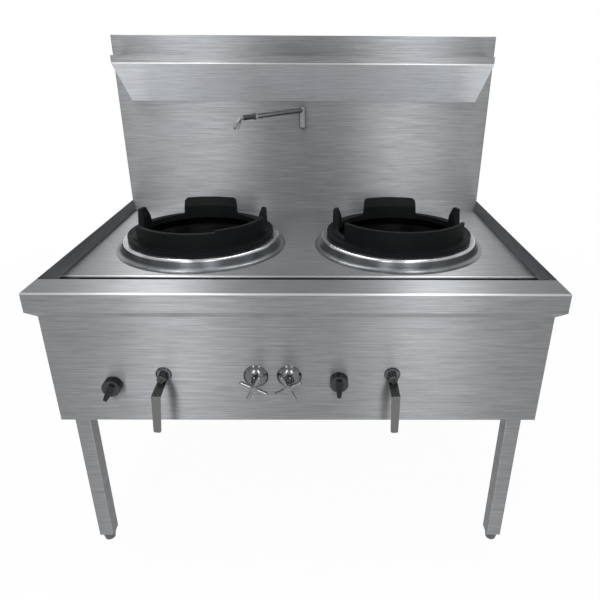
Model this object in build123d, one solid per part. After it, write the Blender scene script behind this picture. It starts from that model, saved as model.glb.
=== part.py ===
"""Two-burner wok range: sheet-steel body on four legs, sunken deck with a front gutter,
two jet burners under cast-iron wok rings, a tall splash back with a ladle shelf, a swing
spout, and the gas and water fittings behind the front panel.

Frame: X to the right seen from the front, Y to the back, Z up. The origin is the middle
of the bounding box on the floor. All sizes are in millimetres.
"""
from build123d import *
import math
import os

# ------------------------------------------------------------------ top, body and legs
RANGE_WIDTH = 1200.0          # outer width over the lip
TOP_DEPTH = 820.0             # lip face to the front of the splash back
SPLASH_DEPTH = 60.0           # thickness of the splash back box
RIM_HEIGHT = 750.0            # floor to the top of the rim
RIM_UPSTAND = 38.0            # rim above the deck
RIM_HEM = 2.0                 # width of the folded edge on top of the side rims
RIM_LEAN = 1.5                # how far the side walls of the rim lean in at the deck
REAR_LEDGE = 4.0              # rim behind the deck, in front of the splash back
REAR_LEAN = 4.0               # how far its wall leans in at the deck
LIP_HEIGHT = 46.0             # upright face of the lip
LIP_RETURN = 19.0             # drop of the sloped return under the lip
BODY_INSET = 20.0             # body panels behind the lip, at the front and sides
BODY_HEIGHT = 280.0           # height of the body panels
SHEET = 1.5                   # thickness of the sheet steel
FLANGE = 20.0                 # width of the folded flanges
FOLD_RADIUS = 2.5             # outer radius of the visible folds
FRONT_STRIP = 82.0            # flat strip of the rim in front of the gutter
GUTTER_WIDTH = 124.0          # front to back
GUTTER_DEPTH = 36.0           # below the deck
GUTTER_LEDGE = 6.5            # depth of the gutter's shallow ends below the deck
DECK_NOSE = 8.0               # how far the deck reaches over the gutter
DECK_NOSE_DROP = 5.0          # turned-down front edge of the deck
GUTTER_INSET = 48.0           # trough's ends in from the sides of the range
DECK_GAP = 0.3                # between the deck's edges and the rim
RAIL_SIZE = 30.0              # base frame channel
RAIL_WALL = 2.0
LEG_SIZE = 38.0               # square leg tube
LEG_WALL = 2.0
LEG_CORNER = 3.0              # outer corner radius of the tube
LEG_INSET = 53.0              # leg's outer face in from the side of the range
LEG_PLATE = 6.0               # threaded plate in the bottom of a leg
FOOT_HEIGHT = 23.0
FOOT_TOP_RADIUS = 16.0
FOOT_SOLE_RADIUS = 13.5
FOOT_TAPER = 14.0             # height of the tapered lower part
FOOT_STEM_RADIUS = 6.0
FOOT_STEM_LENGTH = 60.0
REST_GAP = 0.3                # between pieces that rest on each other but move apart
RUNNING_GAP = 0.06            # radial, shafts in their bores
PRESS_GAP = 0.02              # radial, sleeves and hubs fixed on their shafts
PIPE_GAP = 0.5                # radial, pipes through sheet
TOUCH = 0.01                  # tolerance when picking edges by their size

# ------------------------------------------------------------------ drain
DRAIN_INSET = 82.0            # drain's middle in from the end of the gutter
DRAIN_RADIUS = 25.0
DRAIN_WALL = 2.5
DRAIN_FLANGE_RADIUS = 36.0
DRAIN_FLANGE = 2.0
DRAIN_THREAD_RADIUS = 28.0    # thicker upper part, held by a nut under the gutter
DRAIN_THREAD = 24.0
DRAIN_NUT = 66.0              # across flats
DRAIN_NUT_HEIGHT = 9.0
DRAIN_END = 25.0              # bottom of the drain tube above the bottom of the body

# ------------------------------------------------------------------ splash back and shelf
SPLASH_HEIGHT = 518.0         # above the rim
COVER_RECESS = 3.0            # rear cover in from the back edge
COVER_FLANGE = 15.0
SCREW_RADIUS = 1.6
SCREW_LENGTH = 6.0
SCREW_HEAD_RADIUS = 3.5
SCREW_HEAD = 2.2
SCREW_GAP = 0.1
SCREW_ROWS = 4
SCREW_COLUMNS = 6
SHELF_LENGTH = 1150.0         # over the lip of the shelf
SHELF_REACH = 100.0           # in front of the splash back
SHELF_FOLD = 438.0            # fold of the shelf above the rim
SHELF_LIP = 23.0              # upright lip above the fold
SHELF_SLOPE_DROP = 113.0      # height of the sloped underside
SHELF_FOOT_LENGTH = 1110.0    # bottom edge on the splash back
SHELF_FOOT_REACH = 3.0

# ------------------------------------------------------------------ burners
BURNER_SPREAD = 283.0         # burner centres left and right of their middle
BURNER_SHIFT = -6.0           # their middle from the middle of the range
BURNER_SETBACK = 450.0        # burner centres behind the lip
COLLAR_FOOT_RADIUS = 240.0
COLLAR_BASE_RADIUS = 226.0
COLLAR_SHOULDER_RADIUS = 220.5
COLLAR_BORE_RADIUS = 190.0
COLLAR_HEIGHT = 31.0
COLLAR_SHEET = 2.0
COLLAR_ROUND = 8.0            # outer radius of the shoulder
COLLAR_FLARE = 10.0           # outer radius of the sweep into the foot
COLLAR_SPIGOT = 22.0          # inner edge turned down
CHAMBER_RADIUS = 200.0
CHAMBER_WALL = 3.0
CHAMBER_DEPTH = 230.0         # below the deck
CHAMBER_FLANGE_RADIUS = 220.0
CHAMBER_HOLE_RADIUS = 48.0
DECK_HOLE_RADIUS = 206.0
LINING_GAP = 0.5
LINING_TOP = 8.0              # above the deck
LINING_MOUTH_RADIUS = 172.0
LINING_WAIST_RADIUS = 112.0
LINING_WAIST_DEPTH = 110.0
LINING_FOOT_RADIUS = 88.0
JET_BASE_RADIUS = 68.0
JET_BASE = 8.0
JET_NECK_RADIUS = 17.0
JET_NECK_DROP = 15.0          # below the chamber
JET_STEM_RADIUS = 26.0
JET_HEAD_RADIUS = 64.0
JET_HEAD_RISE = 60.0          # underside of the head above the chamber floor
JET_HEAD = 18.0
JET_RADIUS = 6.0
JET_BORE = 3.0
JET_HEIGHT = 16.0
JET_RINGS = ((0.0, 1), (24.0, 6), (48.0, 12))    # radius and count of the jets
RING_FLANGE_RADIUS = 205.0
RING_FLANGE = 12.0
RING_RADIUS = 190.0
RING_WALL = 17.0
RING_HEIGHT = 63.0            # whole height of the cast ring
RING_LOW_WALL = 4.0           # wall above the flange in the gaps
RING_BEVEL = 8.0              # inner top of the wall, leaning back for the wok
RING_BEVEL_HEIGHT = 24.0
LUG_ROUND = 2.0               # radius of the side lugs' top corners
WIDE_LUG_ROUND = 10.0         # radius of the rear lug's top corners
RING_STEP = 6.0               # low part of the left ring's shield
RING_STEP_ANGLE = -68.0
RING_STEP_PAST = 5.0          # degrees the cut runs past the shield's end
SHIELDS = {"left": (-143.0, -13.0), "right": (-147.0, -29.0)}   # ends of the front shield
REAR_LUGS = {"left": 90.0, "right": 92.5}
SIDE_LUGS = ((165.5, 8.5, 4.5), (17.5, 7.0, 3.5))    # middle, half width at the foot, at the top
REAR_LUG = (26.0, 24.5)       # half width at the foot, at the top

# ------------------------------------------------------------------ gas
CONTROL_SETBACK = 42.0        # pipe line behind the face of the front panel
MANIFOLD_DROP = 130.0         # below the rim
MANIFOLD_RADIUS = 13.35
MANIFOLD_WALL = 2.6
MANIFOLD_END = 33.0           # closed end past the leftmost branch
MANIFOLD_SIDE = 52.0          # down pipe in from the side of the body
MANIFOLD_REAR = 70.0          # down pipe in front of the back
MANIFOLD_BEND = 32.0
INLET_END = 12.0              # gas and water inlets above the bottom of the body
LEVER_SPOTS = ((-316.0, 130.0, 4.2), (222.0, 130.0, -1.2))     # x, height, lean at rest
VALVE_RADIUS = 18.0
VALVE_HALF = 26.0
VALVE_HEX = 30.0              # across flats
VALVE_HEX_HEIGHT = 8.0
VALVE_BOSS_RADIUS = 10.5
VALVE_BOSS_REACH = 7.0        # in front of the panel
BALL_RADIUS = 12.0
BALL_GAP = 0.3
PORT_RADIUS = 7.0
BALL_NECK = 9.6               # where the stem leaves the ball
STEM_RADIUS = 5.0
STEM_REACH = 26.0             # in front of the panel
LEVER_HUB_RADIUS = 10.0
LEVER_HUB_BACK = 8.0
LEVER_HUB_FRONT = 28.0
LEVER_WIDTH = 20.5
LEVER_END_WIDTH = 17.5
LEVER_THICKNESS = 3.0
LEVER_REACH = 75.0            # outer face in front of the panel
LEVER_BEND_DROP = 16.5
LEVER_LENGTH = 112.0          # below its axis
LEVER_RIB = 1.0               # height of the two pressed ribs on the reach
LEVER_RIB_WIDTH = 2.5
LEVER_RIB_SPREAD = 4.5        # ribs from the lever's middle
LEVER_RIB_RUN = 4.0           # run of the ribs past the bend
LEVER_WELD = 0.5              # how far the blade sits in the hub
GRUB_HOLE_RADIUS = 1.8
GRUB_HOLE_DEPTH = 3.0
GRUB_HOLE_REACH = 22.0        # in front of the panel
LEVER_TIP_ROUND = 5.0
LEVER_HUB_CHAMFER = 1.5
LEVER_CUP_RADIUS = 19.0
LEVER_CUP_HEIGHT = 7.0
LEVER_CUP_BAND = 4.2          # nearly upright lower part of the cup
LEVER_CUP_SLOPE = 3.0         # inward step of its sloped upper part
FEED_RADIUS = 8.0
FEED_DROP = 262.0             # run of the feed pipe below the deck
FEED_BEND = 15.0
KNOB_SPOTS = ((-437.0, 103.0, 28.0), (96.5, 115.5, 0.0))       # x, height, pointer angle
COCK_RADIUS = 11.0
COCK_HALF = 20.0
COCK_NOSE_RADIUS = 8.0
COCK_NOSE_REACH = 1.7
KNOB_SHAFT_RADIUS = 4.0
KNOB_SHAFT_DEPTH = 28.0
KNOB_RADIUS = 21.5
KNOB_SKIRT = 22.0
KNOB_CHAMFER = 1.5
KNOB_BAR_FOOT = 15.0          # foot of the bar inside the skirt
KNOB_BAR_TOP = 34.0           # front of the bar before its edges are rounded
KNOB_BAR_WIDTH = 13.0
KNOB_BAR_TAIL = 16.0          # from the axis to the blunt end
KNOB_BAR_TAPER = 14.0         # from the axis to where the pointer narrows
KNOB_POINTER = 29.0
KNOB_POINTER_WIDTH = 9.0
KNOB_BAR_ROUND = 1.2
PILOT_RADIUS = 3.0
PILOT_OFFSET = 78.0           # pilot to the left of the burner centre
PILOT_DROP = 10.0             # run of the pilot tube below the burner chamber
PILOT_BEND = 12.0
PILOT_LEAD = 5.0              # shortest straight run of the tube out of its cock
PILOT_TIP = 70.0              # above the chamber floor
PILOT_TIP_RADIUS = 5.0

# ------------------------------------------------------------------ water
TAP_SPOTS = ((-99.5, 124.5, -27.0), (-21.0, 124.5, 28.0))      # x, height, spoke angle
TAP_BODY_RADIUS = 13.0
TAP_BODY_DEPTH = 55.0
TAP_SOCKET_RADIUS = 11.0
TAP_SOCKET_REACH = 28.0
BONNET_RADIUS = 9.5
BONNET_REACH = 36.0
BONNET_NUT = 22.0             # across flats
BONNET_NUT_HEIGHT = 9.0
BONNET_NUT_START = 14.0       # in front of the panel
TAP_DOME_RADIUS = 29.5
TAP_DOME_HEIGHT = 13.0
TAP_DOME_WALL = 1.5
TAP_DOME_CREST = (0.78, 0.55)     # point of the dome's arc, as shares of its radius and height
SPINDLE_RADIUS = 4.0
SPINDLE_DEPTH = 24.0
TAP_HUB_RADIUS = 9.0
TAP_HUB_HALF = 8.0
TAP_HUB_REACH = 52.0
TAP_HUB_NECK = 6.3            # radius of the hub at its back
TAP_HUB_EDGE = 5.0            # from the hub's middle to the start of its rounded front
TAP_HUB_FACE = 5.4            # radius of its flat front
SPOKES = 4
SPOKE_RADIUS = 4.4
SPOKE_ROUND = 3.4
SPOKE_LENGTH = 34.5
WATER_PIPE_RADIUS = 8.0
WATER_PIPE_WALL = 1.2
WATER_RUN = 55.0              # supply run above the bottom of the body
WATER_REAR = 80.0             # supply ends in front of the back
COLD_LANE = -60.0
HEADER_RISE = 46.0            # header above the taps
WATER_BEND = 16.0
HEADER_BEND = 14.0
RISER_SETBACK = 30.0          # riser behind the front of the splash back

# ------------------------------------------------------------------ swing spout
SPOUT_X = -5.0
SPOUT_HEIGHT = 262.0          # wall connection above the rim
SPOUT_STANDOFF = 40.0         # column in front of the splash back
COLUMN_RADIUS = 10.0
COLUMN_BELOW = 16.0           # bottom of the column below the wall connection
COLUMN_SPLIT = 24.0           # swivel joint above the wall connection
COLUMN_TOP = 50.0             # top of the column above the wall connection
COLUMN_FOOT_ROUND = 4.0
COLUMN_TOP_ROUND = 1.8
SPOUT_TAIL_RADIUS = 8.0
SPOUT_TAIL_DEPTH = 12.0       # behind the face of the splash back
WALL_NUT = 19.0
WALL_NUT_HEIGHT = 8.0
SPIGOT_RADIUS = 5.0
SPIGOT_LENGTH = 18.0
ARM_RISE = 40.0               # arm above the wall connection
ARM_RADIUS = 7.5
ARM_ANGLE = 234.0             # direction of the arm, counter-clockwise from +X
ARM_LENGTH = 221.0            # from the column to the union nut
UNION_RADIUS = 8.5            # half its width across flats
UNION_LENGTH = 11.0
GRIP_START = 232.0
GRIP_END = 274.0
GRIP_RADIUS = 7.4
GRIP_CORE_RADIUS = 5.0
GRIP_GROOVES = 9
GRIP_GROOVE = 0.8
NOSE_RADIUS = 4.4
NOSE_PATH = ((274.0, 0.0), (287.0, 0.0), (303.0, -12.0), (313.0, -26.0))    # along, up
NOSE_BORE = 2.8
NOSE_BEND = 14.0
EAR_ALONG = 285.5
EAR_DROP = 10.5
EAR_RADIUS = 3.6
EAR_THICKNESS = 1.4
PIVOT_RADIUS = 1.2
TRIGGER_EYE_RADIUS = 2.9
TRIGGER_WIDTH = 3.6
TRIGGER_THICKNESS = 2.6
TRIGGER_SIDE_GAP = 0.3
TRIGGER_TIP = (299.0, -30.0)  # along, up

# ------------------------------------------------------------------ derived places
HALF_WIDTH = RANGE_WIDTH / 2
LEVER_FRONT = LEVER_REACH + LEVER_RIB
CONTROL_REACH = max(LEVER_FRONT, TAP_HUB_REACH + TAP_HUB_HALF) - BODY_INSET    # in front of the lip
OVERALL_DEPTH = CONTROL_REACH + TOP_DEPTH + SPLASH_DEPTH
LIP_Y = -OVERALL_DEPTH / 2 + CONTROL_REACH
PANEL_Y = LIP_Y + BODY_INSET
SPLASH_Y = LIP_Y + TOP_DEPTH
BACK_Y = SPLASH_Y + SPLASH_DEPTH
PIPE_Y = PANEL_Y + CONTROL_SETBACK
DECK_Z = RIM_HEIGHT - RIM_UPSTAND
BODY_TOP = RIM_HEIGHT - LIP_HEIGHT - LIP_RETURN
BODY_BOTTOM = BODY_TOP - BODY_HEIGHT
BODY_HALF = HALF_WIDTH - BODY_INSET
WELL_FRONT = LIP_Y + FRONT_STRIP
WELL_HALF = HALF_WIDTH - RIM_HEM
WELL_BACK = SPLASH_Y - REAR_LEDGE
WELL_FLOOR_HALF = WELL_HALF - RIM_LEAN
WELL_FLOOR_BACK = WELL_BACK - REAR_LEAN
DECK_SEAT = DECK_Z - SHEET
GUTTER_HALF = HALF_WIDTH - GUTTER_INSET
GUTTER_BACK = WELL_FRONT + GUTTER_WIDTH
GUTTER_FLOOR = DECK_Z - GUTTER_DEPTH
DRAIN_PLACE = (GUTTER_HALF - DRAIN_INSET, (WELL_FRONT + GUTTER_BACK) / 2)
SPLASH_TOP = RIM_HEIGHT + SPLASH_HEIGHT
BURNER_Y = LIP_Y + BURNER_SETBACK
CHAMBER_FLOOR = DECK_Z - CHAMBER_DEPTH
MANIFOLD_Z = RIM_HEIGHT - MANIFOLD_DROP
MANIFOLD_LEFT = min(x for x, _, _ in KNOB_SPOTS + LEVER_SPOTS) - MANIFOLD_END
MANIFOLD_RIGHT = BODY_HALF - MANIFOLD_SIDE
SPOUT_Z = RIM_HEIGHT + SPOUT_HEIGHT
COLUMN_Y = SPLASH_Y - SPOUT_STANDOFF
ARM_Z = SPOUT_Z + ARM_RISE
SIDES = {"left": -1, "right": 1}


# ------------------------------------------------------------------ helpers
def block(x_span, y_span, z_span):
    """Box between two corners."""
    spans = (x_span, y_span, z_span)
    middle = [(low + high) / 2 for low, high in spans]
    return Pos(*middle) * Box(*[high - low for low, high in spans])


def frustum(low, low_z, high, high_z):
    """Block whose bottom and top rectangles, each (x span, y span), differ."""
    faces = []
    for (x_span, y_span), z in ((low, low_z), (high, high_z)):
        middle = Pos(sum(x_span) / 2, sum(y_span) / 2, z)
        faces.append(middle * Rectangle(x_span[1] - x_span[0], y_span[1] - y_span[0]))
    return loft(Sketch() + faces, ruled=True)


def rod(start, end, radius):
    """Round bar between two points."""
    start, end = Vector(*start), Vector(*end)
    plane = Plane(origin=start, z_dir=end - start)
    return extrude(plane * Circle(radius), amount=(end - start).length)


def bent_rod(points, radius, bend):
    """Round bar along straight runs joined by arcs."""
    path = FilletPolyline(*points, radius=bend)
    section = Plane(origin=path @ 0, z_dir=path % 0) * Circle(radius)
    return sweep(section, path=path)


def bent_pipe(points, radius, wall, bend):
    """Round pipe along straight runs joined by arcs."""
    return bent_rod(points, radius, bend) - bent_rod(points, radius - wall, bend)


def turned(points, span=360.0, start=0.0):
    """Solid turned about Z from an outline of (radius, height) points."""
    outline = make_face(Polyline(*[(r, 0, z) for r, z in points], close=True))
    return Rot(0, 0, start) * revolve(outline, Axis.Z, revolution_arc=span)


def facing_front(shape, x, z):
    """Moves a shape turned about Z onto an axis through the front panel, Z towards the front."""
    return Pos(x, PANEL_Y, z) * Rot(90, 0, 0) * shape


def hex_bar(flats, height):
    """Hexagonal bar standing on its lower face."""
    return extrude(RegularPolygon(flats / 2, 6, major_radius=False), amount=height)


def circles(shape, radius, z):
    """Round edges of one radius at one height."""
    return [edge for edge in shape.edges().filter_by(GeomType.CIRCLE)
            if abs(edge.radius - radius) < TOUCH and abs(edge.center().Z - z) < TOUCH]


def folded(points, thickness, width):
    """Strip folded along (y, z) points, thickness to the left of the walk, middle at x = 0."""
    offset_points = []
    last = len(points) - 1
    for i, point in enumerate(points):
        here = Vector(*point)
        before = (here - Vector(*points[i - 1])).normalized() if i > 0 else None
        after = (Vector(*points[i + 1]) - here).normalized() if i < last else None
        before, after = before or after, after or before
        normal = (before + after).normalized().rotate(Axis.Z, 90)
        shift = thickness / normal.dot(before.rotate(Axis.Z, 90))
        offset_points.append((here.X + normal.X * shift, here.Y + normal.Y * shift))
    outline = list(points) + offset_points[::-1]
    face = make_face(Polyline(*[(0, y, z) for y, z in outline], close=True))
    return Pos(-width / 2, 0, 0) * extrude(face, amount=width, dir=(1, 0, 0))


def control_z(height):
    return BODY_BOTTOM + height


def burner_x(side):
    return side * BURNER_SPREAD + BURNER_SHIFT


# ------------------------------------------------------------------ body
def wall_panel(face_y, inward):
    """Front or rear body panel; inward is +1 or -1 along Y."""
    inner_y = face_y + inward * SHEET
    flange_y = face_y + inward * FLANGE
    panel = block((-BODY_HALF, BODY_HALF), sorted((face_y, inner_y)), (BODY_BOTTOM, BODY_TOP))
    for low in (BODY_BOTTOM, BODY_TOP - SHEET):
        x_span = (-BODY_HALF + SHEET, BODY_HALF - SHEET)
        panel += block(x_span, sorted((face_y, flange_y)), (low, low + SHEET))
    return panel


def front_panel():
    panel = wall_panel(PANEL_Y, 1)
    holes = [(x, z, VALVE_BOSS_RADIUS) for x, z, _ in LEVER_SPOTS]
    holes += [(x, z, COCK_NOSE_RADIUS) for x, z, _ in KNOB_SPOTS]
    holes += [(x, z, BONNET_RADIUS) for x, z, _ in TAP_SPOTS]
    for x, z, radius in holes:
        height = control_z(z)
        panel -= rod((x, PANEL_Y - SHEET, height), (x, PANEL_Y + 2 * SHEET, height),
                     radius + PIPE_GAP)
    return panel


def side_panel(side):
    outer, inner, flange = (side * x for x in (BODY_HALF, BODY_HALF - SHEET, BODY_HALF - FLANGE))
    panel = block(sorted((outer, inner)), (PANEL_Y + SHEET, BACK_Y - SHEET),
                  (BODY_BOTTOM, BODY_TOP))
    for low in (BODY_BOTTOM, BODY_TOP - SHEET):
        panel += block(sorted((outer, flange)), (PANEL_Y + FLANGE, BACK_Y - FLANGE),
                       (low, low + SHEET))
    return panel


def base_frame():
    """Ring of channel on the bottom flanges, open to the inside."""
    low = BODY_BOTTOM + SHEET
    x_out, y_front, y_back = BODY_HALF - SHEET, PANEL_Y + SHEET, BACK_Y - SHEET

    def ring(inset, bottom, top):
        return block((-x_out + inset, x_out - inset), (y_front + inset, y_back - inset),
                     (bottom, top))

    frame = ring(0, low, low + RAIL_SIZE)
    frame -= ring(RAIL_SIZE, low, low + RAIL_SIZE)
    return frame - ring(RAIL_WALL, low + RAIL_WALL, low + RAIL_SIZE - RAIL_WALL)


# ------------------------------------------------------------------ top
def rim_frame():
    """Lip, sloped return, front strip, hemmed side rims and the walls down to the deck."""
    def skirt(inset, top):
        lip = ((-HALF_WIDTH + inset, HALF_WIDTH - inset), (LIP_Y + inset, BACK_Y - inset))
        foot = ((-BODY_HALF + inset, BODY_HALF - inset), (PANEL_Y + inset, BACK_Y - inset))
        upper = block(*lip, (RIM_HEIGHT - LIP_HEIGHT, top))
        return upper, upper + frustum(foot, BODY_TOP, lip, RIM_HEIGHT - LIP_HEIGHT)

    def well(outset):
        top = ((-WELL_HALF - outset, WELL_HALF + outset), (WELL_FRONT - outset, WELL_BACK + outset))
        floor = ((-WELL_FLOOR_HALF - outset, WELL_FLOOR_HALF + outset),
                 (WELL_FRONT - outset, WELL_FLOOR_BACK + outset))
        return frustum(floor, DECK_SEAT, top, RIM_HEIGHT)

    outer = skirt(0, RIM_HEIGHT)[1]
    top_edges = outer.edges().filter_by_position(Axis.Z, RIM_HEIGHT, RIM_HEIGHT)
    upright_edges = outer.edges().filter_by(Axis.Z)
    outer = fillet(top_edges + upright_edges, FOLD_RADIUS)
    frame = outer - skirt(SHEET, RIM_HEIGHT - SHEET)[1]
    flange_outer = block((-BODY_HALF, BODY_HALF), (PANEL_Y, BACK_Y), (BODY_TOP, BODY_TOP + SHEET))
    flange_hole = block((-BODY_HALF + FLANGE, BODY_HALF - FLANGE),
                        (PANEL_Y + FLANGE, BACK_Y - FLANGE), (BODY_TOP, BODY_TOP + SHEET))
    frame += flange_outer - flange_hole
    frame += well(SHEET) & outer
    frame -= well(0)
    seat_outer = block((-WELL_FLOOR_HALF - SHEET, WELL_FLOOR_HALF + SHEET),
                       (GUTTER_BACK + SHEET, WELL_FLOOR_BACK + SHEET), (DECK_SEAT - SHEET, DECK_SEAT))
    seat_hole = block((-WELL_FLOOR_HALF + FLANGE, WELL_FLOOR_HALF - FLANGE),
                      (GUTTER_BACK, WELL_FLOOR_BACK - FLANGE), (DECK_SEAT - SHEET, DECK_SEAT))
    frame += seat_outer - seat_hole
    riser_y = SPLASH_Y + RISER_SETBACK
    frame -= rod((SPOUT_X, riser_y, RIM_HEIGHT - 2 * SHEET), (SPOUT_X, riser_y, RIM_HEIGHT + SHEET),
                 WATER_PIPE_RADIUS + PIPE_GAP)
    return frame


def deck_plate():
    """Sunken deck with a turned-down nose and a hole for each burner."""
    front = GUTTER_BACK - DECK_NOSE
    half = WELL_FLOOR_HALF - DECK_GAP
    back = WELL_FLOOR_BACK - DECK_GAP
    plate = block((-half, half), (front, back), (DECK_Z - DECK_NOSE_DROP, DECK_Z))
    nose_edge = plate.edges().filter_by(Axis.X).group_by(Axis.Z)[-1].sort_by(Axis.Y)[0]
    plate = fillet(nose_edge, FOLD_RADIUS)
    plate -= block((-half, half), (front + SHEET, back), (DECK_Z - DECK_NOSE_DROP, DECK_SEAT))
    for side in SIDES.values():
        centre = (burner_x(side), BURNER_Y)
        plate -= rod((*centre, DECK_SEAT - SHEET), (*centre, DECK_Z + SHEET), DECK_HOLE_RADIUS)
    return plate


def gutter_trough():
    """Trough between the front strip and the deck, shallow at each end."""
    def basin(outset):
        y_span = (WELL_FRONT - outset, GUTTER_BACK + outset)
        ledge_z = DECK_Z - GUTTER_LEDGE
        deep = block((-GUTTER_HALF - outset, GUTTER_HALF + outset), y_span,
                     (GUTTER_FLOOR - outset, DECK_SEAT))
        return deep + block((-WELL_FLOOR_HALF - outset, WELL_FLOOR_HALF + outset), y_span,
                            (ledge_z - outset, DECK_SEAT))

    trough = basin(SHEET) - basin(0)
    return trough - rod((*DRAIN_PLACE, GUTTER_FLOOR - 2 * SHEET), (*DRAIN_PLACE, GUTTER_FLOOR + SHEET),
                        DRAIN_THREAD_RADIUS + SCREW_GAP)


def drain_outlet():
    """Flanged drain with the nut that holds it under the gutter and its tube."""
    bottom, step = BODY_BOTTOM + DRAIN_END, GUTTER_FLOOR - DRAIN_THREAD
    top = GUTTER_FLOOR + DRAIN_FLANGE
    bore = DRAIN_RADIUS - DRAIN_WALL
    tube = turned([(bore, bottom), (DRAIN_RADIUS, bottom), (DRAIN_RADIUS, step),
                   (DRAIN_THREAD_RADIUS, step), (DRAIN_THREAD_RADIUS, GUTTER_FLOOR),
                   (DRAIN_FLANGE_RADIUS, GUTTER_FLOOR), (DRAIN_FLANGE_RADIUS, top), (bore, top)])
    nut = hex_bar(DRAIN_NUT, DRAIN_NUT_HEIGHT) - Cylinder(DRAIN_RADIUS, 4 * DRAIN_NUT_HEIGHT)
    nut = Pos(0, 0, GUTTER_FLOOR - SHEET - DRAIN_NUT_HEIGHT) * nut
    return Pos(*DRAIN_PLACE, 0) * (tube + nut)


# ------------------------------------------------------------------ legs
def leg_middle(side, end):
    """Middle of a leg in plan; end is 'front' or 'rear'."""
    x = side * (HALF_WIDTH - LEG_INSET - LEG_SIZE / 2)
    y = PANEL_Y + LEG_SIZE / 2 if end == "front" else BACK_Y - LEG_SIZE / 2
    return x, y


def leg(side, end):
    x, y = leg_middle(side, end)
    bottom = FOOT_HEIGHT + REST_GAP
    height = BODY_BOTTOM - bottom
    outline = RectangleRounded(LEG_SIZE, LEG_SIZE, LEG_CORNER)
    bore_size = LEG_SIZE - 2 * LEG_WALL
    bore = RectangleRounded(bore_size, bore_size, LEG_CORNER - LEG_WALL)
    tube = extrude(outline, amount=height)
    tube -= Pos(0, 0, LEG_PLATE) * extrude(bore, amount=height)
    tube -= Cylinder(FOOT_STEM_RADIUS + RUNNING_GAP, 4 * LEG_PLATE)
    return Pos(x, y, bottom) * tube


def foot(side, end):
    x, y = leg_middle(side, end)
    stem_top = FOOT_HEIGHT + FOOT_STEM_LENGTH
    outline = [(0, 0), (FOOT_SOLE_RADIUS, 0), (FOOT_TOP_RADIUS, FOOT_TAPER),
               (FOOT_TOP_RADIUS, FOOT_HEIGHT), (FOOT_STEM_RADIUS, FOOT_HEIGHT),
               (FOOT_STEM_RADIUS, stem_top), (0, stem_top)]
    return Pos(x, y, 0) * turned(outline)


# ------------------------------------------------------------------ splash back
def cover_screw_spots():
    """Screws along the sides and the top of the rear cover, as (x, z)."""
    edge = SHEET + COVER_FLANGE / 2
    x_out, top = HALF_WIDTH - edge, SPLASH_TOP - edge
    pitch = SPLASH_HEIGHT / SCREW_ROWS
    spots = [(side * x_out, RIM_HEIGHT + pitch * (row + 0.5))
             for side in SIDES.values() for row in range(SCREW_ROWS)]
    step = 2 * x_out / (SCREW_COLUMNS - 1)
    return spots + [(-x_out + step * column, top) for column in range(SCREW_COLUMNS)]


def splash_panel():
    """Front, sides and top of the splash back in one sheet, with flanges for the cover."""
    shell = block((-HALF_WIDTH, HALF_WIDTH), (SPLASH_Y, BACK_Y), (RIM_HEIGHT, SPLASH_TOP))
    front_edges = shell.edges().group_by(Axis.Y)[0].sort_by(Axis.Z)[1:]
    top_edges = shell.edges().filter_by(Axis.Y).group_by(Axis.Z)[-1]
    shell = fillet(front_edges + top_edges, FOLD_RADIUS)
    inner = HALF_WIDTH - SHEET
    shell -= block((-inner, inner), (SPLASH_Y + SHEET, BACK_Y), (RIM_HEIGHT, SPLASH_TOP - SHEET))
    seat = BACK_Y - COVER_RECESS - SHEET
    flange = block((-inner, inner), (seat - SHEET, seat), (RIM_HEIGHT, SPLASH_TOP - SHEET))
    flange -= block((-inner + COVER_FLANGE, inner - COVER_FLANGE), (seat - SHEET, seat),
                    (RIM_HEIGHT, SPLASH_TOP - SHEET - COVER_FLANGE))
    shell += flange
    for x, z in cover_screw_spots():
        shell -= rod((x, seat - 2 * SHEET, z), (x, seat + SHEET / 2, z), SCREW_RADIUS + SCREW_GAP)
    shell -= rod((SPOUT_X, SPLASH_Y - SHEET, SPOUT_Z), (SPOUT_X, SPLASH_Y + 2 * SHEET, SPOUT_Z),
                 SPOUT_TAIL_RADIUS + PIPE_GAP)
    return shell


def splash_cover():
    seat = BACK_Y - COVER_RECESS - SHEET
    half = HALF_WIDTH - SHEET - DECK_GAP
    cover = block((-half, half), (seat, seat + SHEET), (RIM_HEIGHT, SPLASH_TOP - SHEET - DECK_GAP))
    for x, z in cover_screw_spots():
        cover -= rod((x, seat - SHEET, z), (x, seat + 2 * SHEET, z), SCREW_RADIUS + SCREW_GAP)
    return cover


def cover_screws():
    """Pan-head screws of the rear cover."""
    face = BACK_Y - COVER_RECESS
    screws = []
    for x, z in cover_screw_spots():
        head = rod((x, face, z), (x, face + SCREW_HEAD, z), SCREW_HEAD_RADIUS)
        screws.append(head + rod((x, face - SCREW_LENGTH, z), (x, face, z), SCREW_RADIUS))
    return Compound(screws)


def ladle_shelf():
    """Trough shelf: level floor, upright lip, sloped underside with hipped ends."""
    fold = RIM_HEIGHT + SHELF_FOLD
    foot_z = fold - SHELF_SLOPE_DROP
    lip_top = fold + SHELF_LIP

    def spans(inset):
        half, foot_half = SHELF_LENGTH / 2 - inset, SHELF_FOOT_LENGTH / 2 - inset
        front, foot_front = SPLASH_Y - SHELF_REACH + inset, SPLASH_Y - SHELF_FOOT_REACH + inset
        return ((-half, half), (front, SPLASH_Y)), ((-foot_half, foot_half), (foot_front, SPLASH_Y))

    upper, lower = spans(0)
    outer = block(*upper, (fold, lip_top)) + frustum(lower, foot_z, upper, fold)
    front_fold = outer.edges().filter_by(Axis.X).group_by(Axis.Y)[0].sort_by(Axis.Z)[0]
    outer = fillet(front_fold, FOLD_RADIUS)
    upper, lower = spans(SHEET)
    below = frustum(lower, foot_z, upper, fold)
    above = block(*upper, (fold + SHEET, lip_top))
    return outer - below - above


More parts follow.
